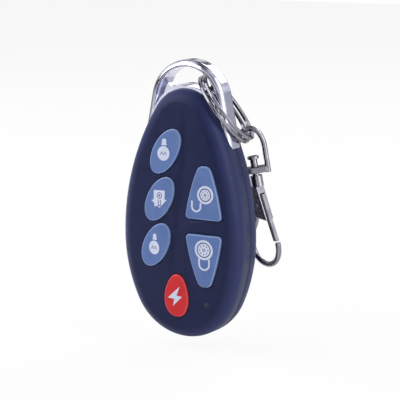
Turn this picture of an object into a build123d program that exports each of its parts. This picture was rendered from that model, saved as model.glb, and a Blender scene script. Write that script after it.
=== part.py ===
from build123d import *
import math
import os

os.makedirs("parts", exist_ok=True)

# The fob stands upright: +X right, +Y back, +Z up, origin at the middle of the flat rear face.
# "Forward" sizes are measured from the parting plane of the two shells, positive to the front.

# Case
case_width = 36.8
case_height = 68.0
case_below_origin = 33.2
case_top_share = 0.2717
case_foot_share = 0.4348
case_top_radius = case_width * case_top_share
case_foot_radius = case_width * case_foot_share
case_top = case_height - case_below_origin
case_widest_height = -6.0
front_depth = 8.5
rear_depth = 7.5
wall = 2.0
dome_radius = 250.0
dome_peak_height = 2.0
front_edge_radius = 4.2
rear_edge_radius = 6.3
front_cavity_radius = 3.0
rear_cavity_radius = 3.8
cavity_front = 6.2
cavity_rear = 5.6
parting_groove = 0.25
lip_inset = 0.95
lip_thickness = 0.75
lip_height = 1.0
overrun = 1.0
fit_gap = 0.05

# Metal lanyard loop
loop_proud = 1.3
loop_centre_drop = 3.7
loop_foot_drop = 15.5
loop_splay = 11
loop_depth = 6.4
loop_edge_radius = 1.6
loop_rim = 1.7
loop_web = 2.4
loop_shell_strip = 0.7
loop_pocket_taper = 35
loop_slot_shoulder = 4.5
loop_slot_rim = 1.8
loop_slot_above_case = 1.2
loop_slot_corner = 1.5
tongue_share = 1.5
tongue_thickness = 2.4
tongue_length = 10.5
loop_radius = case_top_radius + loop_proud
loop_centre_height = case_top - loop_centre_drop
loop_foot_height = case_top - loop_foot_drop
loop_slot_span = 2 * (loop_radius - loop_slot_shoulder)
tongue_width = case_top_radius * tongue_share

# Keys
key_proud = 0.6
key_gap = 0.25
key_edge_radius = 0.45
key_flange_overhang = 0.4
key_flange_thickness = 0.8
key_seat_depth = 1.5
key_stem_radius = 1.2
key_stem_length = 1.0
oval_length = 13.5
oval_width = 7.5
oval_tilt = -30
oval_place_shares = {"light_on": -0.0924, "home": -0.1359, "light_off": -0.1712}
oval_heights = {"light_on": 18.2, "home": 5.25, "light_off": -7.4}
wedge_width = 11.0
wedge_height = 14.3
wedge_tip_width = 3.3
wedge_bulge_width = 8.9
wedge_bulge_share = 0.4
wedge_corner_radius = 1.1
wedge_tip_radius = 1.8
wedge_place_share = 0.2364
disarm_base_height = 0.8
arm_base_height = -3.3
panic_width = 7.4
panic_height = 12.0
panic_top_radius = 2.3
panic_foot_radius = 3.3
panic_widest_height = 5.0
panic_tilt = -5.5
panic_base_across = -0.85
panic_base_height = -26.9

# Screws, their bosses and the board posts
screw_share = 0.3152
screw_top_height = 27.4
screw_foot_height = -20.3
screw_radius = 1.0
screw_length = 7.6
screw_head_radius = 1.6
screw_head_height = 1.2
screw_head_recess = 2.1
screw_head_gap = 0.15
screw_slot_width = 0.45
screw_slot_depth = 0.6
screw_thread_gap = 0.03
boss_radius = 2.2
boss_gap = 0.2
post_radius = 1.1
post_top_share = 0.2582
post_top_height = 14.0
post_side_share = 0.3804
screw_across = case_width * screw_share
screw_places = (
    (0, screw_top_height), (-screw_across, screw_foot_height), (screw_across, screw_foot_height),
)
post_places = (
    (-case_width * post_top_share, post_top_height), (case_width * post_top_share, post_top_height),
    (-case_width * post_side_share, 0), (case_width * post_side_share, 0),
)

# Electronics
board_inset = 2.6
board_thickness = 1.0
board_front = 2.4
board_back = board_front - board_thickness
switch_side = 4.2
switch_height = 1.4
switch_corner = 0.4
plunger_radius = 0.95
plunger_thickness = 0.9
plunger_proud = 0.6
plunger_gap = 0.05
plunger_well = 0.85
mat_thickness = 1.0
mat_inset = 3.4
mat_gap = 0.3
led_from_screw = 2.85
led_centre_height = -22.6
led_window_radius = 0.8
led_pipe_radius = 1.2
led_pipe_gap = 0.1
led_length = 1.6
led_width = 0.8
led_height = 0.8
cell_radius = 10.0
cell_thickness = 3.2
cell_step = 0.5
cell_rim = 0.8
cell_centre_height = -5.0
cell_front = 0.6
contact_thickness = 0.3
contact_width = 5.0
contact_reach = 7.0
contact_bend = 4.0
contact_top = 1.5
clip_width = 6.0
clip_thickness = 0.3
clip_gap = 0.2
clip_foot = 2.0
chip_width = 4.0
chip_length = 5.0
chip_height = 1.5
chip_centre = (-3.4, 13.2)
chip_edge = 0.2
lead_width = 0.4
lead_length = 1.0
lead_thickness = 0.2
lead_pitch = 1.27
lead_row = 4
can_radius = 2.4
can_height = 2.6
can_flange = 0.4
can_flange_thickness = 0.4
can_edge = 0.3
can_centre = (4.6, 13.6)
crystal_length = 3.2
crystal_width = 1.6
crystal_height = 0.9
crystal_edge = 0.15
crystal_centre = (4.6, 9.0)
antenna_width = 0.8
antenna_thickness = 0.15
antenna_inset = 3.6
antenna_foot_height = -14.0
small_part_length = 1.6
small_part_width = 0.8
small_part_height = 0.5
small_part_row = 4
small_part_pitch = 2.4
small_part_centre = (-4.4, 20.0)

# Split ring, hung in the slot of the loop
ring_outer_diameter = 22.0
ring_wire_width = 1.5
ring_wire_thickness = 0.9
ring_wire_corner = 0.3
ring_coil_gap = 0.54
ring_pivot_inset = 7.95
ring_pivot_rise = 1.05
ring_heading = 45.9
ring_droop = 50.3
ring_roll = 18.5
ring_jog_start = 95
ring_jog_turn = 50
ring_end_turn = 6
ring_steps = 240

# Swivel clasp. Its own frame has its zero at the top of the eye and runs down to the hook.
eye_hang = 2.15
clasp_lean_across = 8.5
clasp_lean_back = 4.9
clasp_turn = 20
eye_turn = -26
eye_width = 7.1
eye_arm_end = 12.5
eye_wire_radius = 0.75
eye_arch_height = 5.3
eye_bar_start = 10.5
eye_bar_height = 1.8
eye_bar_depth = 3.2
eye_bar_radius = 0.35
swivel_radius = 1.0
swivel_gap = 0.08
swivel_fit = 0.02
swivel_head_radius = 1.6
swivel_head_start = 7.6
swivel_head_height = 0.8
swivel_head_edge = 0.2
collar_radius = 1.7
collar_start = 13.0
plate_start = 15.6
plate_thickness = 2.8
plate_top_left = 1.9
plate_top_right = 0.8
plate_foot_left = (-3.0, 24.3)
plate_foot_right = (2.8, 25.4)
plate_edge_radius = 0.3
gate_slot_width = 1.7
gate_slot_left = 1.25
gate_slot_start = 17.9
gate_pin_place = (0.3, 21.0)
gate_pin_radius = 0.45
gate_pin_proud = 0.1
gate_pin_fit = 0.02
gate_pin_gap = 0.04
gate_thickness = 1.5
gate_pad_width = 2.7
gate_head = (1.83, 18.1)
gate_knee = (3.17, 25.0)
gate_foot = (4.6, 31.2)
gate_arm_width = 1.2
gate_edge = 0.25
hook_wire_radius = 0.78
hook_radius = 5.4
hook_centre = (-1.0, 32.6)
hook_root = (-2.15, 23.0)
hook_tip_length = 0.9
spring_thickness = 0.2
spring_width = 1.2
spring_start = 19.2
spring_bend = 22.4
spring_tip = (0.2, 24.0)


def on_front(forward):
    """Drawing plane facing the front, local x = X and local y = Z, extruding forward."""
    return Plane(origin=(0, -rear_depth - forward, 0), x_dir=(1, 0, 0), z_dir=(0, -1, 0))


def egg(width, height, foot, top_radius, foot_radius, widest, grow):
    """Egg of six tangent arcs about the middle line, standing on foot and grown all round."""
    half = width / 2
    rise = foot + height - top_radius - widest
    drop = widest - foot - foot_radius
    upper = (half**2 + rise**2 - top_radius**2) / (2 * (half - top_radius))
    lower = (half**2 + drop**2 - foot_radius**2) / (2 * (half - foot_radius))
    upper_turn = math.degrees(math.atan2(rise, upper - half))
    lower_turn = math.degrees(math.atan2(drop, lower - half))
    with BuildSketch() as outline:
        with BuildLine():
            CenterArc((0, foot + height - top_radius), top_radius + grow, upper_turn, 180 - 2 * upper_turn)
            CenterArc((half - upper, widest), upper + grow, 0, upper_turn)
            CenterArc((half - lower, widest), lower + grow, -lower_turn, lower_turn)
            CenterArc((0, foot + foot_radius), foot_radius + grow, 180 + lower_turn, 180 - 2 * lower_turn)
            CenterArc((lower - half, widest), lower + grow, 180, lower_turn)
            CenterArc((upper - half, widest), upper + grow, 180 - upper_turn, upper_turn)
        make_face()
    return outline.sketch


def biarc(start, start_way, end, end_way):
    """Two tangent arcs from start to end: the point where they meet and the way there."""
    chord = end - start
    a = 2 * (1 - start_way.dot(end_way))
    b = 2 * chord.dot(start_way + end_way)
    c = -chord.dot(chord)
    reach = (math.sqrt(b * b - 4 * a * c) - b) / (2 * a)
    middle = (start + end + (start_way - end_way) * reach) / 2
    return middle, (end - start - (start_way + end_way) * reach).normalized()


def case_outline(grow=0):
    return egg(
        case_width, case_height, -case_below_origin,
        case_top_radius, case_foot_radius, case_widest_height, grow,
    )


def loop_outline(grow=0):
    """Round top with two straight splayed legs, closed across the foot."""
    radius = loop_radius + grow
    splay = math.radians(loop_splay)
    shoulder = (radius * math.cos(splay), loop_centre_height + radius * math.sin(splay))
    foot = (shoulder[0] + (shoulder[1] - loop_foot_height) * math.tan(splay), loop_foot_height)
    with BuildSketch() as outline:
        with BuildLine():
            CenterArc((0, loop_centre_height), radius, loop_splay, 180 - 2 * loop_splay)
            Polyline(shoulder, foot, (-foot[0], foot[1]), (-shoulder[0], shoulder[1]))
        make_face()
    return outline.sketch


def domed(peak):
    """Ball whose near side is the gently domed front, its highest point that far forward."""
    with BuildPart() as ball:
        with Locations((0, dome_radius - peak - rear_depth, dome_peak_height)):
            Sphere(dome_radius)
    return ball.part


# Key outlines, drawn about their own reference point
def oval_outline(grow=0):
    with BuildSketch() as outline:
        Ellipse(oval_width / 2 + grow, oval_length / 2 + grow, rotation=oval_tilt)
    return outline.sketch


def wedge_outline(pointing, grow=0):
    """Rounded wedge with bulging sides, its base at zero and its tip up (1) or down (-1)."""
    side = wedge_height * pointing
    with BuildSketch() as outline:
        with BuildLine():
            ThreePointArc(
                (wedge_width / 2, 0),
                (wedge_bulge_width / 2, side * wedge_bulge_share),
                (wedge_tip_width / 2, side),
            )
            mirror(about=Plane.YZ)
            Line((-wedge_width / 2, 0), (wedge_width / 2, 0))
            Line((-wedge_tip_width / 2, side), (wedge_tip_width / 2, side))
        make_face()
        tips = outline.vertices().filter_by(lambda corner: abs(corner.Y) > wedge_height / 2)
        fillet(tips, wedge_tip_radius)
        feet = outline.vertices().filter_by(lambda corner: abs(corner.Y) < wedge_corner_radius)
        fillet(feet, wedge_corner_radius)
        if grow != 0:
            offset(amount=grow)
    return outline.sketch


def panic_outline(grow=0):
    outline = egg(
        panic_width, panic_height, 0,
        panic_top_radius, panic_foot_radius, panic_widest_height, grow,
    )
    return outline.rotate(Axis.Z, panic_tilt)


def key_outline(name, grow=0):
    if name in oval_heights:
        return oval_outline(grow)
    if name == "panic":
        return panic_outline(grow)
    return wedge_outline(1 if name == "disarm" else -1, grow)


def tongue_slot():
    """Cut in the shell rims for the tongue of the loop, leaving the top boss standing."""
    with BuildSketch() as slot:
        with Locations((0, case_top)):
            Rectangle(tongue_width + 2 * fit_gap, 2 * (tongue_length + fit_gap))
        with Locations(screw_places[0]):
            Circle(boss_radius, mode=Mode.SUBTRACT)
    return slot.sketch


def boss_holes():
    """Holes that let a flat piece pass over the screw bosses."""
    with BuildSketch() as holes:
        with Locations(*screw_places):
            Circle(boss_radius + boss_gap)
    return holes.sketch


key_places = {name: (case_width * oval_place_shares[name], oval_heights[name]) for name in oval_heights}
key_places["disarm"] = (case_width * wedge_place_share, disarm_base_height)
key_places["arm"] = (case_width * wedge_place_share, arm_base_height)
key_places["panic"] = (panic_base_across, panic_base_height)
led_centre = (screw_across - led_from_screw, led_centre_height)
switch_places = {}
for name, place in key_places.items():
    middle = key_outline(name).face().center()
    switch_places[name] = (place[0] + middle.X, place[1] + middle.Y)


# Front shell: domed front, hollow, with bosses, a groove for the lip and an opening for each key
with BuildPart() as front_room:
    with BuildSketch(on_front(0)):
        add(case_outline(-wall))
    extrude(amount=cavity_front)
    fillet(front_room.faces().sort_by(Axis.Y)[0].outer_wire().edges(), front_cavity_radius)
    for name, place in key_places.items():
        with BuildSketch(on_front(cavity_front - key_seat_depth)):
            with Locations(place):
                add(key_outline(name, key_flange_overhang + key_gap))
        extrude(amount=key_seat_depth)
    with BuildSketch(on_front(0)):
        with Locations(*screw_places):
            Circle(boss_radius)
    extrude(amount=cavity_front, mode=Mode.SUBTRACT)
    with BuildSketch(on_front(0)):
        with Locations(*screw_places):
            Circle(screw_radius + screw_thread_gap)
    extrude(amount=screw_length - rear_depth + screw_head_recess + fit_gap)
with BuildPart() as front_shell:
    with BuildSketch(on_front(0)):
        add(case_outline())
    extrude(amount=front_depth)
    add(domed(front_depth), mode=Mode.INTERSECT)
    fillet(front_shell.faces().sort_by(Axis.Y)[0].outer_wire().edges(), front_edge_radius)
    chamfer(front_shell.faces().sort_by(Axis.Y)[-1].outer_wire().edges(), parting_groove)
    for name, place in key_places.items():
        with BuildSketch(on_front(0)):
            with Locations(place):
                add(key_outline(name, key_gap))
        extrude(amount=front_depth + overrun, mode=Mode.SUBTRACT)
    add(front_room.part, mode=Mode.SUBTRACT)
    with BuildSketch(on_front(0)):
        add(case_outline(fit_gap - lip_inset))
        add(case_outline(-wall), mode=Mode.SUBTRACT)
    extrude(amount=lip_height + fit_gap, mode=Mode.SUBTRACT)
    with BuildSketch(on_front(0)):
        with Locations(led_centre):
            Circle(led_window_radius)
    extrude(amount=front_depth, mode=Mode.SUBTRACT)
    with BuildSketch(on_front(0)):
        add(tongue_slot())
    extrude(amount=tongue_thickness / 2 + fit_gap, mode=Mode.SUBTRACT)
front_shell.part.label = "front_shell"
export_step(front_shell.part, "parts/front_shell.step")

# Rear shell: rounded back with a flat face, bosses for the screws, posts for the board and a lip
with BuildPart() as rear_room:
    with BuildSketch(on_front(-cavity_rear)):
        add(case_outline(-wall))
    extrude(amount=cavity_rear)
    fillet(rear_room.faces().sort_by(Axis.Y)[-1].outer_wire().edges(), rear_cavity_radius)
    with BuildSketch(on_front(-cavity_rear)):
        with Locations(*screw_places):
            Circle(boss_radius)
        with Locations(*post_places):
            Circle(post_radius)
    extrude(amount=cavity_rear, mode=Mode.SUBTRACT)
with BuildPart() as rear_shell:
    with BuildSketch(on_front(-rear_depth)):
        add(case_outline())
    extrude(amount=rear_depth)
    fillet(rear_shell.faces().sort_by(Axis.Y)[-1].outer_wire().edges(), rear_edge_radius)
    chamfer(rear_shell.faces().sort_by(Axis.Y)[0].outer_wire().edges(), parting_groove)
    add(rear_room.part, mode=Mode.SUBTRACT)
    with BuildSketch(on_front(0)):
        add(case_outline(-lip_inset))
        add(case_outline(-lip_inset - lip_thickness), mode=Mode.SUBTRACT)
    extrude(amount=lip_height)
    with BuildSketch(on_front(0)):
        with Locations(*post_places):
            Circle(post_radius)
    extrude(amount=board_back)
    with BuildSketch(on_front(-rear_depth)):
        with Locations(*screw_places):
            Circle(screw_head_radius + screw_head_gap)
    extrude(amount=screw_head_recess, mode=Mode.SUBTRACT)
    with BuildSketch(on_front(-rear_depth)):
        with Locations(*screw_places):
            Circle(screw_radius + screw_thread_gap)
    extrude(amount=rear_depth, mode=Mode.SUBTRACT)
    with BuildSketch(on_front(-tongue_thickness / 2 - fit_gap)):
        add(tongue_slot())
    extrude(amount=tongue_thickness / 2 + fit_gap + lip_height, mode=Mode.SUBTRACT)
rear_shell.part.label = "rear_shell"
export_step(rear_shell.part, "parts/rear_shell.step")

# Lanyard loop: metal horseshoe round the top of the case, held by a tongue between the shells
with BuildPart() as loop_pocket:
    with BuildSketch(on_front(loop_depth / 2)):
        add(loop_outline(-loop_rim))
    extrude(amount=(loop_web - loop_depth) / 2, taper=loop_pocket_taper)
    with BuildSketch(on_front(0)):
        add(case_outline(loop_shell_strip))
    extrude(amount=loop_depth, mode=Mode.SUBTRACT)
with BuildPart() as lanyard_loop:
    with BuildSketch(on_front(-loop_depth / 2)):
        add(loop_outline())
    extrude(amount=loop_depth)
    rims = lanyard_loop.faces().filter_by(Axis.Y).edges()
    fillet(rims.filter_by(lambda edge: edge.center().Z > loop_foot_height + fit_gap), loop_edge_radius)
    add(loop_pocket.part, mode=Mode.SUBTRACT)
    add(mirror(loop_pocket.part, about=Plane.XZ.offset(rear_depth), mode=Mode.PRIVATE), mode=Mode.SUBTRACT)
    with BuildSketch(on_front(-loop_depth / 2)):
        add(case_outline(fit_gap))
    extrude(amount=loop_depth, mode=Mode.SUBTRACT)
    with BuildSketch(on_front(-loop_depth / 2)) as slot_sketch:
        with Locations((0, loop_centre_height + loop_radius)):
            Rectangle(loop_slot_span, 2 * loop_radius)
        add(loop_outline(-loop_slot_rim), mode=Mode.INTERSECT)
        add(case_outline(loop_slot_above_case), mode=Mode.SUBTRACT)
        fillet(slot_sketch.vertices(), loop_slot_corner)
    extrude(amount=loop_depth, mode=Mode.SUBTRACT)
    with BuildSketch(on_front(-tongue_thickness / 2)):
        with Locations((0, case_top)):
            Rectangle(tongue_width, 2 * tongue_length)
        add(case_outline(loop_shell_strip), mode=Mode.INTERSECT)
        with Locations(screw_places[0]):
            Circle(boss_radius + fit_gap, mode=Mode.SUBTRACT)
    extrude(amount=tongue_thickness)
lanyard_loop.part.label = "lanyard_loop"
export_step(lanyard_loop.part, "parts/lanyard_loop.step")

# Keys: domed cap, flange that rests against the inside of the front shell, stem to the switch
key_foot = cavity_front - key_flange_thickness
for name, place in key_places.items():
    with BuildPart() as key:
        with BuildSketch(on_front(key_foot)):
            with Locations(place):
                add(key_outline(name))
        extrude(amount=front_depth)
        add(domed(front_depth + key_proud), mode=Mode.INTERSECT)
        fillet(key.faces().sort_by(Axis.Y)[0].outer_wire().edges(), key_edge_radius)
        with BuildSketch(on_front(key_foot)):
            with Locations(place):
                add(key_outline(name, key_flange_overhang))
        extrude(amount=key_flange_thickness)
        with BuildSketch(on_front(key_foot)):
            with Locations(switch_places[name]):
                Circle(key_stem_radius)
        extrude(amount=-key_stem_length)
    key.part.label = name + "_key"
    export_step(key.part, "parts/" + name + "_key.step")

# Keypad switches and their plungers
switch_top = board_front + switch_height
for name, place in switch_places.items():
    with BuildPart() as switch:
        with BuildSketch(on_front(board_front)) as switch_sketch:
            with Locations(place):
                Rectangle(switch_side, switch_side)
            chamfer(switch_sketch.vertices(), switch_corner)
        extrude(amount=switch_height)
        with BuildSketch(on_front(switch_top)):
            with Locations(place):
                Circle(plunger_radius + plunger_gap)
        extrude(amount=-plunger_well, mode=Mode.SUBTRACT)
    switch.part.label = name + "_switch"
    export_step(switch.part, "parts/" + name + "_switch.step")
    with BuildPart() as plunger:
        with BuildSketch(on_front(switch_top + plunger_proud)):
            with Locations(place):
                Circle(plunger_radius)
        extrude(amount=-plunger_thickness)
    plunger.part.label = name + "_plunger"
    export_step(plunger.part, "parts/" + name + "_plunger.step")

# Silicone keypad mat that keeps dirt off the board, pierced for the stems
with BuildPart() as keypad_mat:
    with BuildSketch(on_front(switch_top)):
        add(case_outline(-mat_inset))
        add(boss_holes(), mode=Mode.SUBTRACT)
        with Locations(*switch_places.values()):
            Circle(key_stem_radius + mat_gap, mode=Mode.SUBTRACT)
        with Locations(led_centre):
            Circle(led_pipe_radius + mat_gap, mode=Mode.SUBTRACT)
    extrude(amount=mat_thickness)
keypad_mat.part.label = "keypad_mat"
export_step(keypad_mat.part, "parts/keypad_mat.step")

# Circuit board
with BuildPart() as circuit_board:
    with BuildSketch(on_front(board_back)):
        add(case_outline(-board_inset))
        add(boss_holes(), mode=Mode.SUBTRACT)
    extrude(amount=board_thickness)
circuit_board.part.label = "circuit_board"
export_step(circuit_board.part, "parts/circuit_board.step")

# Radio antenna track on the front of the board
with BuildPart() as loop_antenna:
    with BuildSketch(on_front(board_front)):
        add(case_outline(-antenna_inset))
        add(case_outline(-antenna_inset - antenna_width), mode=Mode.SUBTRACT)
        with Locations((0, antenna_foot_height)):
            Rectangle(case_width, case_height, align=(Align.CENTER, Align.MAX), mode=Mode.SUBTRACT)
    extrude(amount=antenna_thickness)
loop_antenna.part.label = "loop_antenna"
export_step(loop_antenna.part, "parts/loop_antenna.step")

# Signal lamp and the clear pipe that carries its light to the front
with BuildPart() as signal_lamp:
    with BuildSketch(on_front(board_front)):
        with Locations(led_centre):
            Rectangle(led_length, led_width)
    extrude(amount=led_height)
signal_lamp.part.label = "signal_lamp"
export_step(signal_lamp.part, "parts/signal_lamp.step")
with BuildPart() as light_pipe:
    with BuildSketch(on_front(board_front + led_height + led_pipe_gap)):
        with Locations(led_centre):
            Circle(led_window_radius - fit_gap)
    extrude(amount=front_depth)
    add(domed(front_depth), mode=Mode.INTERSECT)
    with BuildSketch(on_front(cavity_front - led_pipe_gap)):
        with Locations(led_centre):
            Circle(led_pipe_radius)
    extrude(amount=board_front + led_height + 2 * led_pipe_gap - cavity_front)
light_pipe.part.label = "light_pipe"
export_step(light_pipe.part, "parts/light_pipe.step")

# Coin cell, its contact under the board and the clip round its back
cell_back = cell_front - cell_thickness
with BuildPart() as coin_cell:
    with BuildSketch(on_front(cell_back)):
        with Locations((0, cell_centre_height)):
            Circle(cell_radius)
    extrude(amount=cell_thickness - cell_step)
    with BuildSketch(on_front(cell_front)):
        with Locations((0, cell_centre_height)):
            Circle(cell_radius - cell_rim)
    extrude(amount=-cell_step)
coin_cell.part.label = "coin_cell"
export_step(coin_cell.part, "parts/coin_cell.step")
contact_side = [
    (-contact_reach, board_back), (-contact_bend, board_back), (-contact_top, cell_front + contact_thickness),
    (contact_top, cell_front + contact_thickness), (contact_bend, board_back), (contact_reach, board_back),
]
with BuildPart() as battery_contact:
    with BuildSketch(Plane(origin=(0, -rear_depth, cell_centre_height), x_dir=(0, 0, 1), z_dir=(1, 0, 0))):
        with BuildLine():
            Polyline(
                *contact_side,
                *[(along, forward - contact_thickness) for along, forward in reversed(contact_side)],
                close=True,
            )
        make_face()
    extrude(amount=contact_width / 2, both=True)
battery_contact.part.label = "battery_contact"
export_step(battery_contact.part, "parts/battery_contact.step")
clip_leg = cell_radius + clip_gap
clip_half = [
    (clip_leg + clip_thickness, cell_back - clip_thickness),
    (clip_leg + clip_thickness, board_back - clip_thickness),
    (clip_leg + clip_foot, board_back - clip_thickness),
    (clip_leg + clip_foot, board_back),
    (clip_leg, board_back),
    (clip_leg, cell_back),
]
with BuildPart() as battery_clip:
    with BuildSketch(Plane(origin=(0, -rear_depth, cell_centre_height), x_dir=(1, 0, 0), z_dir=(0, 0, -1))):
        with BuildLine():
            Polyline(*clip_half, *[(-across, forward) for across, forward in reversed(clip_half)], close=True)
        make_face()
    extrude(amount=clip_width / 2, both=True)
battery_clip.part.label = "battery_clip"
export_step(battery_clip.part, "parts/battery_clip.step")

# Controller chip with its leads
with BuildPart() as controller_chip:
    with BuildSketch(on_front(board_back)):
        with Locations(chip_centre):
            Rectangle(chip_width, chip_length)
    extrude(amount=-chip_height)
    chamfer(controller_chip.faces().sort_by(Axis.Y)[-1].edges(), chip_edge)
controller_chip.part.label = "controller_chip"
export_step(controller_chip.part, "parts/controller_chip.step")
with BuildPart() as chip_leads:
    with BuildSketch(on_front(board_back)):
        with Locations(chip_centre):
            with GridLocations(chip_width + lead_length, lead_pitch, 2, lead_row):
                Rectangle(lead_length, lead_width)
    extrude(amount=-lead_thickness)
chip_leads.part.label = "chip_leads"
export_step(chip_leads.part, "parts/chip_leads.step")

# Radio resonator in a metal can, quartz crystal and small chip parts on the back of the board
with BuildPart() as radio_resonator:
    with BuildSketch(on_front(board_back)):
        with Locations(can_centre):
            Circle(can_radius)
    extrude(amount=-can_height)
    fillet(radio_resonator.faces().sort_by(Axis.Y)[-1].edges(), can_edge)
    with BuildSketch(on_front(board_back)):
        with Locations(can_centre):
            Circle(can_radius + can_flange)
    extrude(amount=-can_flange_thickness)
radio_resonator.part.label = "radio_resonator"
export_step(radio_resonator.part, "parts/radio_resonator.step")
with BuildPart() as quartz_crystal:
    with BuildSketch(on_front(board_back)):
        with Locations(crystal_centre):
            Rectangle(crystal_length, crystal_width)
    extrude(amount=-crystal_height)
    chamfer(quartz_crystal.faces().sort_by(Axis.Y)[-1].edges(), crystal_edge)
quartz_crystal.part.label = "quartz_crystal"
export_step(quartz_crystal.part, "parts/quartz_crystal.step")
with BuildPart() as chip_resistors:
    with BuildSketch(on_front(board_back)):
        with Locations(small_part_centre):
            with GridLocations(small_part_pitch, small_part_pitch, small_part_row, 1):
                Rectangle(small_part_width, small_part_length)
    extrude(amount=-small_part_height)
chip_resistors.part.label = "chip_resistors"
export_step(chip_resistors.part, "parts/chip_resistors.step")

# Screws driven from the rear into the front bosses
with BuildPart() as housing_screws:
    head_foot = screw_head_recess - rear_depth
    with BuildSketch(on_front(head_foot)):
        with Locations(*screw_places):
            Circle(screw_head_radius)
    extrude(amount=-screw_head_height)
    with BuildSketch(on_front(head_foot - screw_head_height)):
        with Locations(*screw_places):
            Rectangle(2 * screw_head_radius - 2 * screw_slot_width, screw_slot_width)
            Rectangle(screw_slot_width, 2 * screw_head_radius - 2 * screw_slot_width)
    extrude(amount=screw_slot_depth, mode=Mode.SUBTRACT)
    with BuildSketch(on_front(head_foot)):
        with Locations(*screw_places):
            Circle(screw_radius)
    extrude(amount=screw_length)
housing_screws.part.label = "housing_screws"
export_step(housing_screws.part, "parts/housing_screws.step")

# Split ring: rounded flat wire wound flat, one jog across to the second turn, wound flat again
ring_radius = (ring_outer_diameter - ring_wire_width) / 2
ring_pitch = ring_wire_thickness + ring_coil_gap
roll = math.radians(ring_roll)
heading = math.radians(ring_heading)
droop = math.radians(ring_droop)
ring_pivot_height = case_top + loop_slot_above_case + ring_pivot_rise
ring_pivot = Vector(loop_radius - ring_pivot_inset, -rear_depth, ring_pivot_height)
ring_down = Vector(math.cos(heading) * math.cos(droop), math.sin(heading) * math.cos(droop), -math.sin(droop))
ring_level = ring_down.cross(Vector(0, 1, 0)).normalized()
ring_normal = ring_level * math.cos(roll) + ring_level.cross(ring_down) * math.sin(roll)
ring_plane = Plane(origin=ring_pivot + ring_down * ring_radius, x_dir=ring_down, z_dir=ring_normal)


def ring_point(turn, lift):
    angle = math.radians(turn)
    return ring_plane.from_local_coords(
        Vector(ring_radius * math.cos(angle), ring_radius * math.sin(angle), lift)
    )


def ring_way(turn):
    angle = math.radians(turn)
    return ring_plane.y_dir * math.cos(angle) - ring_plane.x_dir * math.sin(angle)


jog_end = ring_jog_start + ring_jog_turn
flat_turn = 360 - ring_jog_turn - ring_end_turn
ring_start = ring_jog_start - flat_turn
stops = [(ring_start + flat_turn * share / 2, -ring_pitch / 2) for share in range(3)]
next_stops = [(jog_end + flat_turn * share / 2, ring_pitch / 2) for share in range(3)]
with BuildPart() as split_ring:
    with BuildLine() as ring_path:
        for near, far in zip(stops, stops[1:]):
            TangentArc(ring_point(*near), ring_point(*far), tangent=ring_way(near[0]))
        jog_from = ring_point(*stops[-1])
        jog_to = ring_point(*next_stops[0])
        jog_middle, jog_way = biarc(jog_from, ring_way(ring_jog_start), jog_to, ring_way(jog_end))
        TangentArc(jog_from, jog_middle, tangent=ring_way(ring_jog_start))
        TangentArc(jog_middle, jog_to, tangent=jog_way)
        for near, far in zip(next_stops, next_stops[1:]):
            TangentArc(ring_point(*near), ring_point(*far), tangent=ring_way(near[0]))
    with BuildSketch(Plane(origin=ring_path.line @ 0, x_dir=ring_normal, z_dir=ring_way(ring_start))):
        RectangleRounded(ring_wire_thickness, ring_wire_width, ring_wire_corner)
    sweep(path=ring_path.line)
split_ring.part.label = "split_ring"
export_step(split_ring.part, "parts/split_ring.step")

# Least gap of the split ring to itself, measured between the corners of the wire all along it
wire_corners = []
for step in range(ring_steps + 1):
    middle = ring_path.line @ (step / ring_steps)
    outward = (ring_path.line % (step / ring_steps)).cross(ring_normal).normalized() * ring_wire_width / 2
    lift = ring_normal * ring_wire_thickness / 2
    corners = (outward + lift, outward - lift, lift - outward, -outward - lift)
    wire_corners.append([tuple(middle + corner) for corner in corners])
ring_gap = min(
    math.dist(corner, other)
    for step, near in enumerate(wire_corners)
    for far in wire_corners[step + ring_steps // 4:]
    for corner in near
    for other in far
)
print("split_ring: least gap to itself", round(ring_gap, 3), "mm")

# Clasp frames: local x across, local y down to the hook, local z to the back
ring_end = ring_pivot + ring_down * 2 * ring_radius
lean_across = math.radians(clasp_lean_across)
lean_back = math.radians(clasp_lean_back)
clasp_down = Vector(math.tan(lean_across), math.tan(lean_back), -1).normalized()
eye_top = ring_end - clasp_down * eye_hang


def clasp_frame(turn):
    """Frame on the clasp axis, its local x the +X way turned that much to the front."""
    angle = math.radians(turn)
    back = Vector(math.cos(angle), -math.sin(angle), 0).cross(clasp_down).normalized()
    return Plane(origin=eye_top, x_dir=clasp_down.cross(back), z_dir=back)


clasp_plane = clasp_frame(clasp_turn)
eye_plane = clasp_frame(eye_turn)


def square_to(frame, down):
    """Plane square to the clasp axis, its local z running down to the hook."""
    return Plane(
        origin=frame.from_local_coords(Vector(0, down, 0)), x_dir=frame.x_dir, z_dir=frame.y_dir
    )


def point_in(frame, across, down):
    return frame.from_local_coords(Vector(across, down, 0))


def way_in(frame, across, down):
    return (frame.x_dir * across + frame.y_dir * down).normalized()


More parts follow.
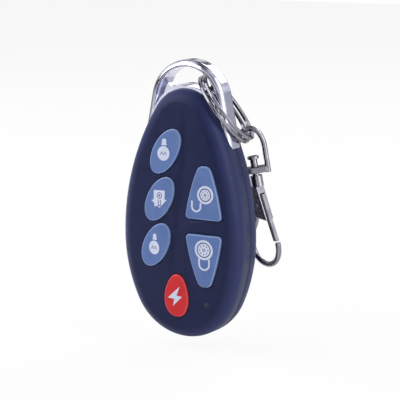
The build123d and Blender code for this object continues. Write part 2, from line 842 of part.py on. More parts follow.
# Clasp eye: bent wire arch closed by a bored bar
arm = eye_width / 2
with BuildPart() as clasp_eye:
    with BuildLine() as eye_path:
        shoulder = point_in(eye_plane, -arm, eye_arch_height)
        crown = point_in(eye_plane, 0, 0)
        haunch, haunch_way = biarc(shoulder, way_in(eye_plane, 0, -1), crown, way_in(eye_plane, 1, 0))
        Line(point_in(eye_plane, -arm, eye_arm_end), shoulder)
        TangentArc(shoulder, haunch, tangent=way_in(eye_plane, 0, -1))
        TangentArc(haunch, crown, tangent=haunch_way)
        far_shoulder = point_in(eye_plane, arm, eye_arch_height)
        haunch, haunch_way = biarc(crown, way_in(eye_plane, 1, 0), far_shoulder, way_in(eye_plane, 0, 1))
        TangentArc(crown, haunch, tangent=way_in(eye_plane, 1, 0))
        TangentArc(haunch, far_shoulder, tangent=haunch_way)
        Line(far_shoulder, point_in(eye_plane, arm, eye_arm_end))
    with BuildSketch(Plane(origin=eye_path.line @ 0, z_dir=eye_path.line % 0)):
        Circle(eye_wire_radius)
    sweep(path=eye_path.line)
with BuildPart() as eye_bar:
    with BuildSketch(square_to(eye_plane, eye_bar_start)):
        Rectangle(eye_width, eye_bar_depth)
    extrude(amount=eye_bar_height)
    fillet(eye_bar.edges(), eye_bar_radius)
    add(clasp_eye.part)
    with BuildSketch(square_to(eye_plane, eye_bar_start)):
        Circle(swivel_radius + swivel_gap)
    extrude(amount=eye_bar_height, mode=Mode.SUBTRACT)
eye_bar.part.label = "clasp_eye"
export_step(eye_bar.part, "parts/clasp_eye.step")

# Swivel rivet: flat head inside the eye, shank through the bar into the collar
with BuildPart() as swivel_rivet:
    with BuildSketch(square_to(clasp_plane, swivel_head_start)):
        Circle(swivel_head_radius)
    extrude(amount=swivel_head_height)
    fillet(swivel_rivet.edges(), swivel_head_edge)
    with BuildSketch(square_to(clasp_plane, swivel_head_start + swivel_head_height / 2)):
        Circle(swivel_radius)
    extrude(amount=plate_start - swivel_head_start - swivel_head_height / 2)
swivel_rivet.part.label = "swivel_rivet"
export_step(swivel_rivet.part, "parts/swivel_rivet.step")

# Clasp body: collar, slotted plate and the open hook in one casting
with BuildPart() as hook_wire:
    with BuildLine() as hook_path:
        root = point_in(clasp_plane, *hook_root)
        root_way = way_in(clasp_plane, -plate_top_left, hook_root[1] - plate_start)
        flank = point_in(clasp_plane, hook_centre[0] - hook_radius, hook_centre[1])
        bend, bend_way = biarc(root, root_way, flank, way_in(clasp_plane, 0, 1))
        TangentArc(root, bend, tangent=root_way)
        TangentArc(bend, flank, tangent=bend_way)
        tip = point_in(clasp_plane, hook_centre[0] + hook_radius, hook_centre[1])
        ThreePointArc(flank, point_in(clasp_plane, hook_centre[0], hook_centre[1] + hook_radius), tip)
        Line(tip, tip - way_in(clasp_plane, 0, 1) * hook_tip_length)
    with BuildSketch(Plane(origin=hook_path.line @ 0, z_dir=hook_path.line % 0)):
        Circle(hook_wire_radius)
    sweep(path=hook_path.line)
with BuildPart() as clasp_body:
    with BuildSketch(clasp_plane.offset(-plate_thickness / 2)):
        with BuildLine():
            Polyline(
                (-plate_top_left, plate_start), (plate_top_right, plate_start),
                plate_foot_right, plate_foot_left, close=True,
            )
        make_face()
    extrude(amount=plate_thickness)
    fillet(clasp_body.edges(), plate_edge_radius)
    with BuildSketch(square_to(clasp_plane, collar_start)):
        Circle(collar_radius)
    extrude(amount=plate_start + plate_edge_radius - collar_start)
    add(hook_wire.part)
    with BuildSketch(square_to(clasp_plane, collar_start)):
        Circle(swivel_radius + swivel_fit)
    extrude(amount=plate_start - collar_start, mode=Mode.SUBTRACT)
    with BuildSketch(clasp_plane.offset(-gate_slot_width / 2)):
        with Locations((-gate_slot_left, gate_slot_start)):
            Rectangle(
                gate_foot[0] + gate_slot_left, plate_foot_right[1] + overrun - gate_slot_start,
                align=(Align.MIN, Align.MIN),
            )
    extrude(amount=gate_slot_width, mode=Mode.SUBTRACT)
    with BuildSketch(clasp_plane.offset(-plate_thickness / 2)):
        with Locations(gate_pin_place):
            Circle(gate_pin_radius + gate_pin_fit)
    extrude(amount=plate_thickness, mode=Mode.SUBTRACT)
clasp_body.part.label = "clasp_body"
export_step(clasp_body.part, "parts/clasp_body.step")

# Gate, its pin and the leaf spring that keeps it shut
with BuildPart() as clasp_gate:
    with BuildSketch(clasp_plane.offset(-gate_thickness / 2)):
        with BuildLine():
            Polyline(
                gate_head, gate_knee, gate_foot,
                (gate_foot[0] - gate_arm_width, gate_foot[1]),
                (gate_knee[0] - gate_arm_width, gate_knee[1]),
                (gate_knee[0] - gate_pad_width, gate_knee[1]),
                (gate_head[0] - gate_pad_width, gate_head[1]),
                close=True,
            )
        make_face()
    extrude(amount=gate_thickness)
    chamfer(clasp_gate.faces().filter_by(Axis(eye_top, clasp_plane.z_dir)).edges(), gate_edge)
    with BuildSketch(clasp_plane.offset(-gate_thickness / 2)):
        with Locations(gate_pin_place):
            Circle(gate_pin_radius + gate_pin_gap)
    extrude(amount=gate_thickness, mode=Mode.SUBTRACT)
clasp_gate.part.label = "clasp_gate"
export_step(clasp_gate.part, "parts/clasp_gate.step")
with BuildPart() as gate_pin:
    with BuildSketch(clasp_plane):
        with Locations(gate_pin_place):
            Circle(gate_pin_radius)
    extrude(amount=plate_thickness / 2 + gate_pin_proud, both=True)
gate_pin.part.label = "gate_pin"
export_step(gate_pin.part, "parts/gate_pin.step")
with BuildPart() as gate_spring:
    with BuildSketch(clasp_plane):
        with BuildLine():
            Polyline(
                (-gate_slot_left, spring_start),
                (spring_thickness - gate_slot_left, spring_start),
                (spring_thickness - gate_slot_left, spring_bend),
                spring_tip,
                (spring_tip[0] - spring_thickness, spring_tip[1] + spring_thickness),
                (-gate_slot_left, spring_bend + spring_thickness),
                close=True,
            )
        make_face()
    extrude(amount=spring_width / 2, both=True)
gate_spring.part.label = "gate_spring"
export_step(gate_spring.part, "parts/gate_spring.step")
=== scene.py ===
import math

import bmesh
import bpy
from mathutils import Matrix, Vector


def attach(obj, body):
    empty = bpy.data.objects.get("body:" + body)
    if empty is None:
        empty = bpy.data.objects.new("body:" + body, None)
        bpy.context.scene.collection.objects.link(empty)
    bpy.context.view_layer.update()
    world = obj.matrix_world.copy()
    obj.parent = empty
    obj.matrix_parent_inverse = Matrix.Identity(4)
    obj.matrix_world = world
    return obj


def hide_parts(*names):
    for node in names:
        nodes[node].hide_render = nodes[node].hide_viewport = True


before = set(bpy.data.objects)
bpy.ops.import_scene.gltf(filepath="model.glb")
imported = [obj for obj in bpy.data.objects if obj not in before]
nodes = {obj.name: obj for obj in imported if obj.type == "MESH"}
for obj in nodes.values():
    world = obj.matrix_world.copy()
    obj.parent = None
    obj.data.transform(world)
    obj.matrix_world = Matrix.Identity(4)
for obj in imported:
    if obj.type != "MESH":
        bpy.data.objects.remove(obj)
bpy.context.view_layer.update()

MM = 0.001
scene = bpy.context.scene

# Sizes shared with the CAD model, in millimetres
REAR_DEPTH = 7.5
FRONT_DEPTH = 8.5
DOME_RADIUS = 250.0
DOME_PEAK = 2.0
KEY_PROUD = 0.6


def dome_y(x, z, peak):
    """Depth of the domed front at a place, in millimetres."""
    middle = DOME_RADIUS - peak - REAR_DEPTH
    return middle - math.sqrt(DOME_RADIUS**2 - x * x - (z - DOME_PEAK) ** 2)


# Materials
def srgb(r, g, b):
    def channel(v):
        v /= 255
        return v / 12.92 if v <= 0.04045 else ((v + 0.055) / 1.055) ** 2.4
    return (channel(r), channel(g), channel(b), 1)


def set_stops(ramp, stops):
    """Fill a colour ramp node from pairs of place and colour."""
    elements = ramp.color_ramp.elements
    elements[0].position, elements[1].position = stops[0][0], stops[-1][0]
    for place, _ in stops[1:-1]:
        elements.new(place)
    for element, (_, colour) in zip(elements, stops):
        element.color = colour


class Shader:
    """A Principled material with helpers for procedural detail."""

    def __init__(self, name):
        self.material = bpy.data.materials.new(name)
        self.material.use_nodes = True
        self.tree = self.material.node_tree
        self.base = self.tree.nodes["Principled BSDF"]
        self.place = self.node("ShaderNodeTexCoord").outputs["Object"]

    def node(self, kind, **settings):
        made = self.tree.nodes.new(kind)
        for key, value in settings.items():
            setattr(made, key, value)
        return made

    def link(self, source, target):
        self.tree.links.new(source, target)

    def set(self, **values):
        for key, value in values.items():
            self.base.inputs[key.replace("_", " ")].default_value = value
        return self

    def noise(self, scale, detail=2.0):
        made = self.node("ShaderNodeTexNoise")
        made.inputs["Scale"].default_value = scale
        made.inputs["Detail"].default_value = detail
        self.link(self.place, made.inputs["Vector"])
        return made.outputs["Fac"]

    def span(self, value, low, high, start=0.0, end=1.0):
        made = self.node("ShaderNodeMapRange")
        made.inputs["From Min"].default_value = start
        made.inputs["From Max"].default_value = end
        made.inputs["To Min"].default_value = low
        made.inputs["To Max"].default_value = high
        self.link(value, made.inputs["Value"])
        return made.outputs["Result"]

    def colours(self, value, dark, light, start=0.35, end=0.65):
        ramp = self.node("ShaderNodeValToRGB")
        set_stops(ramp, [(start, dark), (end, light)])
        self.link(value, ramp.inputs["Fac"])
        return ramp.outputs["Color"]

    def colour(self, source):
        self.link(source, self.base.inputs["Base Color"])
        return self

    def rough(self, value, low, high):
        self.link(self.span(value, low, high), self.base.inputs["Roughness"])
        return self

    def bump(self, value, depth_mm, strength=1.0):
        made = self.node("ShaderNodeBump")
        made.inputs["Strength"].default_value = strength
        made.inputs["Distance"].default_value = depth_mm * MM
        self.link(value, made.inputs["Height"])
        if self.base.inputs["Normal"].is_linked:
            self.link(self.base.inputs["Normal"].links[0].from_socket, made.inputs["Normal"])
        self.link(made.outputs["Normal"], self.base.inputs["Normal"])
        return self


PLASTIC_CLOUD = 260
PLASTIC_SHEEN = 900
METAL_CLOUD = 420
METAL_SHEEN = 700
METAL_GRAIN = 500


def plastic(name, dark, light, roughness, grain=2600, depth=0.004, specular=0.5):
    made = Shader(name)
    made.colour(made.colours(made.noise(PLASTIC_CLOUD, 3), dark, light))
    made.rough(made.noise(PLASTIC_SHEEN, 2), roughness - 0.04, roughness + 0.05)
    made.bump(made.noise(grain, 2), depth)
    made.set(Specular_IOR_Level=specular)
    return made


def metal(name, dark, light, roughness, grain_depth=0.0006):
    made = Shader(name)
    made.colour(made.colours(made.noise(METAL_CLOUD, 3), dark, light))
    made.rough(made.noise(METAL_SHEEN, 4), roughness, roughness + 0.06)
    made.bump(made.noise(METAL_GRAIN, 2), grain_depth)
    made.set(Metallic=1.0)
    return made


def painted_edge_highlight(made, light, stops):
    """Painted highlight: lighter colour where a moulded face turns away from the front, by how far it
    faces back, standing in for lamp light caught on rounded edges.
    """
    shape = made.node("ShaderNodeNewGeometry")
    split = made.node("ShaderNodeSeparateXYZ")
    made.link(shape.outputs["Normal"], split.inputs["Vector"])
    ramp = made.node("ShaderNodeValToRGB")
    set_stops(ramp, [(place, (share, share, share, 1)) for place, share in stops])
    made.link(made.span(split.outputs["Y"], 0.0, 1.0, -1.0, 1.0), ramp.inputs["Fac"])
    mix = made.node("ShaderNodeMix", data_type="RGBA")
    made.link(ramp.outputs["Color"], mix.inputs["Factor"])
    made.link(made.base.inputs["Base Color"].links[0].from_socket, mix.inputs["A"])
    mix.inputs["B"].default_value = light
    made.link(mix.outputs["Result"], made.base.inputs["Base Color"])


case_plastic = plastic("navy_case_plastic", srgb(19, 27, 64), srgb(23, 31, 70), 0.42, specular=0.2)
key_rubber = plastic("blue_key_rubber", srgb(84, 109, 164), srgb(90, 116, 171), 0.5, 3200, 0.003, 0.35)
panic_rubber = plastic("red_key_rubber", srgb(196, 22, 30), srgb(204, 28, 36), 0.42, 3200, 0.003, 0.35)
# Painted highlight on the rounded rims of the case, lighter by how far each face turns from the front
CASE_EDGE_HIGHLIGHT = [(0.02, 0.0), (0.08, 0.2), (0.27, 0.4), (0.5, 0.28), (0.75, 0.04), (1.0, 0.0)]
# Painted highlight on the rounded edges of the blue and red keys, lighter by how far each face turns
# from the front
KEY_EDGE_HIGHLIGHT = [(0.006, 0.0), (0.1, 0.8), (0.5, 0.4), (1.0, 0.0)]
painted_edge_highlight(case_plastic, srgb(66, 75, 126), CASE_EDGE_HIGHLIGHT)
painted_edge_highlight(key_rubber, srgb(146, 167, 212), KEY_EDGE_HIGHLIGHT)
painted_edge_highlight(panic_rubber, srgb(236, 96, 100), KEY_EDGE_HIGHLIGHT)
chrome = metal("bright_chrome", srgb(206, 207, 224), srgb(219, 220, 236), 0.1)
ring_chrome = metal("ring_chrome", srgb(140, 138, 147), srgb(158, 156, 164), 0.1)
cast_chrome = metal("cast_chrome", srgb(142, 139, 148), srgb(160, 157, 165), 0.14, 0.0015)
steel = metal("machined_steel", srgb(176, 178, 182), srgb(196, 198, 202), 0.24)
spring_steel = metal("spring_steel", srgb(128, 130, 138), srgb(150, 152, 158), 0.3)
copper = metal("gold_track", srgb(204, 158, 82), srgb(220, 176, 98), 0.28)
mat_rubber = plastic("grey_silicone", srgb(158, 160, 158), srgb(170, 172, 170), 0.55, 2800)
board = plastic("green_board", srgb(14, 92, 48), srgb(20, 104, 56), 0.35, 1500, 0.002)
chip = plastic("black_resin", srgb(24, 24, 26), srgb(32, 32, 34), 0.5, 3000, 0.004)
ceramic = plastic("brown_ceramic", srgb(120, 96, 70), srgb(134, 108, 80), 0.5)
lamp = plastic("lamp_resin", srgb(206, 196, 166), srgb(216, 208, 180), 0.25)
pipe = plastic("tinted_pipe", srgb(22, 24, 50), srgb(28, 30, 58), 0.12, 900, 0.001)
plunger = plastic("cream_plunger", srgb(196, 188, 164), srgb(206, 198, 174), 0.45)
print_ink = plastic("white_print", srgb(198, 205, 228), srgb(206, 212, 233), 0.5, 3000, 0.001)
dark_ink = plastic("navy_print", srgb(40, 54, 104), srgb(46, 60, 110), 0.5, 3000, 0.001)

finishes = {
    "front_shell": case_plastic, "rear_shell": case_plastic, "lanyard_loop": chrome,
    "split_ring": ring_chrome, "clasp_eye": cast_chrome, "clasp_body": cast_chrome,
    "swivel_rivet": cast_chrome, "clasp_gate": cast_chrome, "gate_pin": steel,
    "gate_spring": spring_steel, "keypad_mat": mat_rubber, "circuit_board": board,
    "loop_antenna": copper, "signal_lamp": lamp, "light_pipe": pipe, "coin_cell": steel,
    "battery_contact": spring_steel, "battery_clip": spring_steel, "controller_chip": chip,
    "chip_leads": steel, "radio_resonator": steel, "quartz_crystal": steel,
    "chip_resistors": ceramic, "housing_screws": steel, "panic_key": panic_rubber,
}


def smooth_by_angle(mesh, degrees=32):
    """Smooth shading with the real corners kept sharp."""
    mesh.shade_smooth()
    mesh.set_sharp_from_angle(angle=math.radians(degrees))


for name, node in nodes.items():
    finish = finishes.get(name)
    if finish is None:
        finish = key_rubber if name.endswith("_key") else plunger if name.endswith("_plunger") else chip
    node.data.materials.clear()
    node.data.materials.append(finish.material)

# Soft crease moulded down the front of the case, to the right of the oval keys
CREASE_LINE = [
    (33.0, 0.3), (28.0, 0.6), (16.0, 1.1), (7.0, 0.1), (-2.5, -0.9), (-11.5, -2.5), (-20.0, -3.6),
]
CREASE_DEPTH = 0.24
CREASE_RISE = 1.2
CREASE_RUN = 3.6
CREASE_TOP = (24.0, 31.0)
CREASE_FOOT = (-16.0, -8.0)
GRID_LEFT, GRID_RIGHT = -5.0, 7.0
GRID_FOOT, GRID_TOP = -20.0, 33.0
GRID_ACROSS = 0.6
GRID_UP = 1.6
WELD = 0.0005
DOME_TOLERANCE = 0.03
FRONT_FACING = -0.97


def smooth(value):
    value = min(max(value, 0.0), 1.0)
    return value * value * (3 - 2 * value)


def crease_depth(x, z):
    """How far the crease sinks the front at a place, in millimetres."""
    line = None
    for (top, right), (foot, left) in zip(CREASE_LINE, CREASE_LINE[1:]):
        if foot <= z <= top:
            line = left + (right - left) * (z - foot) / (top - foot)
    if line is None:
        return 0.0
    fade = smooth((z - CREASE_FOOT[0]) / (CREASE_FOOT[1] - CREASE_FOOT[0]))
    fade *= 1 - smooth((z - CREASE_TOP[0]) / (CREASE_TOP[1] - CREASE_TOP[0]))
    fall = smooth((x - line) / CREASE_RISE) * (1 - smooth((x - line - CREASE_RISE) / CREASE_RUN))
    return CREASE_DEPTH * fade * fall


def on_dome(vert):
    """Whether a point lies on the domed front of the case."""
    x, y, z = vert.co / MM
    return abs(y - dome_y(x, z, FRONT_DEPTH)) < DOME_TOLERANCE


def front_patch(bm):
    """The faces of the domed front with their edges and points."""
    faces = [f for f in bm.faces if f.normal.y < FRONT_FACING and all(on_dome(v) for v in f.verts)]
    edges = {e for f in faces for e in f.edges}
    verts = {v for f in faces for v in f.verts}
    return faces + list(edges) + list(verts)


bm = bmesh.new()
bm.from_mesh(nodes["front_shell"].data)
bmesh.ops.remove_doubles(bm, verts=bm.verts[:], dist=WELD * MM)
across = GRID_LEFT
while across < GRID_RIGHT:
    cut = Vector((across * MM, 0, 0))
    bmesh.ops.bisect_plane(bm, geom=front_patch(bm), plane_co=cut, plane_no=Vector((1, 0, 0)))
    across += GRID_ACROSS
height = GRID_FOOT
while height < GRID_TOP:
    cut = Vector((0, 0, height * MM))
    bmesh.ops.bisect_plane(bm, geom=front_patch(bm), plane_co=cut, plane_no=Vector((0, 0, 1)))
    height += GRID_UP
for vert in bm.verts:
    if on_dome(vert):
        x, _, z = vert.co / MM
        vert.co.y = (dome_y(x, z, FRONT_DEPTH) + crease_depth(x, z)) * MM
mesh = bpy.data.meshes.new("creased_front_shell")
bm.to_mesh(mesh)
bm.free()
mesh.materials.append(case_plastic.material)
smooth_by_angle(mesh)
creased_shell = bpy.data.objects.new("creased_front_shell", mesh)
scene.collection.objects.link(creased_shell)
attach(creased_shell, "case")
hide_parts("front_shell")

# White symbols printed on the keys, in millimetres, standing upside down as on the real keys
SYMBOL_PROUD = 0.06
BACKING_PROUD = 0.03
PRINT_SINK = 0.04
CIRCLE_STEPS = 40
SHACKLE_STEPS = 16
DIAL_DOTS = 8


def circle(across, height, wide, tall=None, turns=CIRCLE_STEPS):
    tall = wide if tall is None else tall
    steps = [2 * math.pi * step / turns for step in range(turns)]
    return [(across + wide * math.cos(a), height + tall * math.sin(a)) for a in steps]


def stroke(points, width):
    """Outline of a line of even width through the points."""
    left, right = [], []
    for index, (x, z) in enumerate(points):
        before = points[max(index - 1, 0)]
        after = points[min(index + 1, len(points) - 1)]
        way = Vector((after[0] - before[0], after[1] - before[1])).normalized()
        side = Vector((-way.y, way.x)) * width / 2
        left.append((x + side.x, z + side.y))
        right.append((x - side.x, z - side.y))
    return left + right[::-1]


def shackle(left, right, top_left, top_right, foot, width):
    """U-shaped line: two legs joined by a half circle whose low point is at foot."""
    middle, radius = (left + right) / 2, (right - left) / 2
    bend = [math.pi + math.pi * step / SHACKLE_STEPS for step in range(SHACKLE_STEPS + 1)]
    arc = [(middle + radius * math.cos(a), foot + radius + radius * math.sin(a)) for a in bend]
    return stroke([(left, top_left)] + arc + [(right, top_right)], width)


def dial(radius, groove, groove_width, dots, dot_radius, hub):
    """Rim and face of a round dial with a ring of dots and a hub; each inner outline is a hole."""
    face = [circle(0, 0, groove - groove_width / 2)]
    for step in range(DIAL_DOTS):
        a = 2 * math.pi * step / DIAL_DOTS
        face.append(circle(dots * math.cos(a), dots * math.sin(a), dot_radius, turns=10))
    face.append(circle(0, 0, hub, turns=16))
    face.append(circle(0, 0, hub * 0.5, turns=10))
    return [[circle(0, 0, radius), circle(0, 0, groove + groove_width / 2)], face]


def bulb(wide, tall, cap_wide, cap_foot, cap_top, lean):
    """Lamp with a zigzag filament and a cap."""
    zigzag = [(-0.95, -0.3), (-0.5, 0.5), (0.0, -0.4), (0.5, 0.5), (0.9, -0.3)]
    zigzag = [(x * wide / 1.95, z - 0.05) for x, z in zigzag]
    half = cap_wide / 2
    collar, tip = half * 1.25, half * 0.55
    cap = [
        (lean - collar, cap_foot), (lean + collar, cap_foot), (lean + collar, cap_foot + 0.35),
        (lean + half, cap_foot + 0.45), (lean + half, cap_top - 0.4), (lean + tip, cap_top),
        (lean - tip, cap_top), (lean - half, cap_top - 0.4), (lean - half, cap_foot + 0.45),
        (lean - collar, cap_foot + 0.35),
    ]
    return [[circle(0, 0, wide, tall), stroke(zigzag, 0.3)], [cap]]


house = [
    (-1.72, 2.3), (1.79, 2.4), (1.69, 0.0), (2.4, -0.1), (0.1, -2.4), (-0.8, -1.7), (-0.84, -2.1),
    (-1.55, -2.1), (-1.55, -1.2), (-2.5, -0.45), (-1.75, -0.3),
]
house_lines = [
    circle(0.05, 0.95, 0.85), circle(0.05, 0.95, 0.62), circle(0.05, 0.95, 0.3, turns=20),
    [(-0.4, -0.2), (0.5, -0.2), (0.5, -1.9), (-0.4, -1.9)],
    [(-0.15, -0.2), (0.25, -0.2), (0.25, -1.65), (-0.15, -1.65)],
]
bolt = [(1.64, 3.0), (-2.3, -0.5), (-0.25, -0.6), (-0.79, -2.7), (2.2, 0.17), (0.5, 0.35)]
symbols = {
    "light_on": ((-3.68, 17.68), bulb(1.9, 1.95, 1.35, 2.2, 3.95, 0.1), [circle(0, -0.05, 1.2, 0.8)]),
    "light_off": ((-6.6, -8.15), bulb(1.65, 1.9, 1.05, 2.15, 3.8, 0.25), [circle(0, -0.05, 1.1, 0.8)]),
    "home": ((-4.8, 5.33), [[house] + house_lines],
             [circle(0.05, 0.95, 0.95), [(-0.5, 0.0), (0.6, 0.0), (0.6, -1.95), (-0.5, -1.95)]]),
    "disarm": ((9.45, 7.58), dial(2.42, 1.66, 0.3, 1.02, 0.16, 0.42)
               + [[shackle(-4.0, -1.4, -1.75, -2.12, -4.55, 0.48)]], [circle(0, 0, 1.9)]),
    "arm": ((8.95, -7.27), dial(2.72, 1.95, 0.3, 1.22, 0.2, 0.45)
            + [[shackle(-1.5, 1.5, -2.42, -2.42, -5.4, 0.5)]], [circle(0, 0, 2.2)]),
    "panic": ((-0.52, -21.19), [[bolt]], []),
}


def filled(name, outlines):
    """Flat mesh in the XZ plane that fills the outlines, an outline inside another being a hole."""
    curve = bpy.data.curves.new(name, "CURVE")
    curve.dimensions = "2D"
    curve.fill_mode = "FRONT"
    for outline in outlines:
        spline = curve.splines.new("POLY")
        spline.points.add(len(outline) - 1)
        for point, (x, z) in zip(spline.points, outline):
            point.co = (x, z, 0, 1)
        spline.use_cyclic_u = True
    holder = bpy.data.objects.new(name, curve)
    mesh = bpy.data.meshes.new_from_object(holder)
    bpy.data.objects.remove(holder)
    return mesh


def print_on_key(name, key, place, groups, proud, ink):
    """Thin printed layer that follows the domed top of a key."""
    bm = bmesh.new()
    for outlines in groups:
        mesh = filled(name, outlines)
        bm.from_mesh(mesh)
        bpy.data.meshes.remove(mesh)
    front = bm.faces[:]
    for vert in bm.verts:
        x, z = place[0] + vert.co.x, place[1] + vert.co.y
        vert.co = Vector((x, dome_y(x, z, FRONT_DEPTH + KEY_PROUD) - proud, z)) * MM
    bmesh.ops.recalc_face_normals(bm, faces=front)
    made = bmesh.ops.extrude_face_region(bm, geom=front)
    for item in made["geom"]:
        if isinstance(item, bmesh.types.BMVert):
            item.co.y += (proud + PRINT_SINK) * MM
    bmesh.ops.recalc_face_normals(bm, faces=bm.faces[:])
    mesh = bpy.data.meshes.new(name)
    bm.to_mesh(mesh)
    bm.free()
    mesh.materials.append(ink.material)
    printed = bpy.data.objects.new(name, mesh)
    scene.collection.objects.link(printed)
    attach(printed, key + "_button")


for name, (place, groups, backing) in symbols.items():
    print_on_key(name + "_symbol", name, place, groups, SYMBOL_PROUD, print_ink)
    if backing:
        fields = [[outline] for outline in backing]
        print_on_key(name + "_backing", name, place, fields, BACKING_PROUD, dark_ink)

# Camera at the photograph's angle, looking at the middle of its frame
AZIMUTH = math.radians(31)
ELEVATION = math.radians(10)
PICTURE_WIDTH = 400
PIXELS_PER_MM = 3.7
target = Vector((2.52, -REAR_DEPTH, 4.34)) * MM
level_share = math.cos(ELEVATION)
right, back = math.sin(AZIMUTH) * level_share, math.cos(AZIMUTH) * level_share
toward = Vector((right, -back, math.sin(ELEVATION)))
camera = bpy.data.cameras.new("camera")
camera.sensor_fit = "HORIZONTAL"
camera.sensor_width = 36
camera.lens = 150
reach = PICTURE_WIDTH / PIXELS_PER_MM * MM * camera.lens / camera.sensor_width
camera_object = bpy.data.objects.new("camera", camera)
scene.collection.objects.link(camera_object)
camera_object.location = target + toward * reach
camera_object.rotation_euler = toward.to_track_quat("Z", "Y").to_euler()
camera.clip_start = 0.01
scene.camera = camera_object


# Studio: pale floor, soft lamps and a white background with darker bands that the metal shows
SOFT_LEVEL = 0.3
BAND_STOPS = [
    (0.0, 0.6), (0.28, 0.35), (0.40, 0.6), (0.455, 0.05), (0.54, 0.03), (0.58, 0.7), (0.68, 0.95),
    (0.76, 0.5), (0.82, 0.08), (0.88, 0.1), (0.94, 0.9),
]
BAND_BLUE = 1.04
BAND_DRIFT = 0.5
DRIFT_SCALE = 1.6
LIT_SIDE = (0.15, 0.75)
LIT_SHARE = 0.85
LIT_COLOUR = (0.85, 0.85, 0.92, 1)
FLOOR_HALF = 1.5
FLOOR_HEIGHT = -0.036
FLOOR_WHITE_SHARE = 0.9


def area_lamp(name, place, size, power):
    light = bpy.data.lights.new(name, "AREA")
    light.shape = "RECTANGLE"
    light.size, light.size_y = size
    light.energy = power
    made = bpy.data.objects.new(name, light)
    scene.collection.objects.link(made)
    made.location = place
    made.rotation_euler = (Vector(place) - target).to_track_quat("Z", "Y").to_euler()
    return made


area_lamp("key_lamp", (-0.5, -0.5, 0.5), (0.8, 0.8), 4.2)
# The left lamp lights the case but stays out of what the metal reflects
left_lamp = area_lamp("left_lamp", (-0.65, -0.05, 0.1), (0.4, 0.9), 5.0)
left_lamp.visible_glossy = False
area_lamp("right_lamp", (0.7, -0.05, 0.2), (0.5, 1.1), 3.6)
area_lamp("back_lamp", (0.1, 0.6, 0.5), (0.5, 0.4), 2.2)


def background(tree, strength):
    made = tree.nodes.new("ShaderNodeBackground")
    made.inputs["Color"].default_value = (1, 1, 1, 1)
    made.inputs["Strength"].default_value = strength
    return made


def any_ray(tree, *kinds):
    """1 for the named kinds of ray, 0 for the others."""
    paths = tree.nodes.new("ShaderNodeLightPath")
    total = paths.outputs[kinds[0]]
    for kind in kinds[1:]:
        either = tree.nodes.new("ShaderNodeMath")
        either.operation = "MAXIMUM"
        tree.links.new(total, either.inputs[0])
        tree.links.new(paths.outputs[kind], either.inputs[1])
        total = either.outputs["Value"]
    return total


world = bpy.data.worlds.new("studio")
scene.world = world
world.use_nodes = True
tree = world.node_tree
tree.nodes.clear()
output = tree.nodes.new("ShaderNodeOutputWorld")
white = background(tree, 1.0)
soft = background(tree, SOFT_LEVEL)
shown = background(tree, 1.0)
coordinates = tree.nodes.new("ShaderNodeTexCoord")
split = tree.nodes.new("ShaderNodeSeparateXYZ")
tree.links.new(coordinates.outputs["Generated"], split.inputs["Vector"])
bands = tree.nodes.new("ShaderNodeValToRGB")
bands.color_ramp.interpolation = "EASE"
set_stops(bands, [(place, (grey, grey, min(grey * BAND_BLUE, 1), 1)) for place, grey in BAND_STOPS])
half = tree.nodes.new("ShaderNodeMapRange")
half.inputs["From Min"].default_value = -1
tree.links.new(split.outputs["Z"], half.inputs["Value"])
drift = tree.nodes.new("ShaderNodeTexNoise")
drift.inputs["Scale"].default_value = DRIFT_SCALE
drift.inputs["Detail"].default_value = 0
tree.links.new(coordinates.outputs["Generated"], drift.inputs["Vector"])
shift = tree.nodes.new("ShaderNodeMath")
shift.operation = "MULTIPLY_ADD"
shift.inputs[1].default_value = BAND_DRIFT
tree.links.new(drift.outputs["Fac"], shift.inputs[0])
level = tree.nodes.new("ShaderNodeMath")
level.operation = "SUBTRACT"
level.inputs[1].default_value = BAND_DRIFT / 2
tree.links.new(half.outputs["Result"], level.inputs[0])
tree.links.new(level.outputs["Value"], shift.inputs[2])
tree.links.new(shift.outputs["Value"], bands.inputs["Fac"])
lit_side = tree.nodes.new("ShaderNodeMapRange")
lit_side.inputs["From Min"].default_value = LIT_SIDE[0]
lit_side.inputs["From Max"].default_value = LIT_SIDE[1]
lit_side.inputs["To Max"].default_value = LIT_SHARE
tree.links.new(split.outputs["X"], lit_side.inputs["Value"])
sided = tree.nodes.new("ShaderNodeMix")
sided.data_type = "RGBA"
tree.links.new(lit_side.outputs["Result"], sided.inputs["Factor"])
tree.links.new(bands.outputs["Color"], sided.inputs["A"])
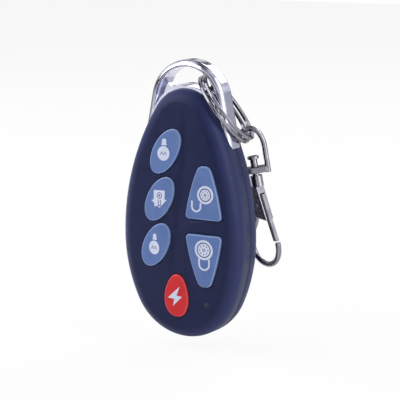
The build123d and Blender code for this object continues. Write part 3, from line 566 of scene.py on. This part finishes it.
sided.inputs["B"].default_value = LIT_COLOUR
tree.links.new(sided.outputs["Result"], shown.inputs["Color"])
first = tree.nodes.new("ShaderNodeMixShader")
tree.links.new(any_ray(tree, "Is Glossy Ray", "Is Transmission Ray"), first.inputs["Fac"])
tree.links.new(soft.outputs["Background"], first.inputs[1])
tree.links.new(shown.outputs["Background"], first.inputs[2])
second = tree.nodes.new("ShaderNodeMixShader")
tree.links.new(any_ray(tree, "Is Camera Ray"), second.inputs["Fac"])
tree.links.new(first.outputs["Shader"], second.inputs[1])
tree.links.new(white.outputs["Background"], second.inputs[2])
tree.links.new(second.outputs["Shader"], output.inputs["Surface"])

floor_material = Shader("pale_floor")
floor_cloud = floor_material.noise(6, 2)
floor_material.colour(floor_material.colours(floor_cloud, srgb(238, 238, 239), srgb(242, 242, 243)))
floor_material.rough(floor_material.noise(30, 2), 0.6, 0.7)
floor_material.bump(floor_material.noise(200, 2), 0.05)
glow = floor_material.node("ShaderNodeEmission")
glow.inputs["Color"].default_value = (1, 1, 1, 1)
blend = floor_material.node("ShaderNodeMixShader")
share = floor_material.node("ShaderNodeMath", operation="MULTIPLY")
share.inputs[1].default_value = FLOOR_WHITE_SHARE
floor_material.link(any_ray(floor_material.tree, "Is Camera Ray"), share.inputs[0])
floor_material.link(share.outputs["Value"], blend.inputs["Fac"])
floor_material.link(floor_material.base.outputs["BSDF"], blend.inputs[1])
floor_material.link(glow.outputs["Emission"], blend.inputs[2])
surface = floor_material.tree.nodes["Material Output"].inputs["Surface"]
floor_material.link(blend.outputs["Shader"], surface)
bm = bmesh.new()
corners = [(-1, -1), (1, -1), (1, 1), (-1, 1)]
bm.faces.new([bm.verts.new((x * FLOOR_HALF, y * FLOOR_HALF, FLOOR_HEIGHT)) for x, y in corners])
floor_mesh = bpy.data.meshes.new("floor")
bm.to_mesh(floor_mesh)
bm.free()
floor_mesh.materials.append(floor_material.material)
floor = bpy.data.objects.new("floor", floor_mesh)
scene.collection.objects.link(floor)

scene.view_settings.view_transform = "Standard"
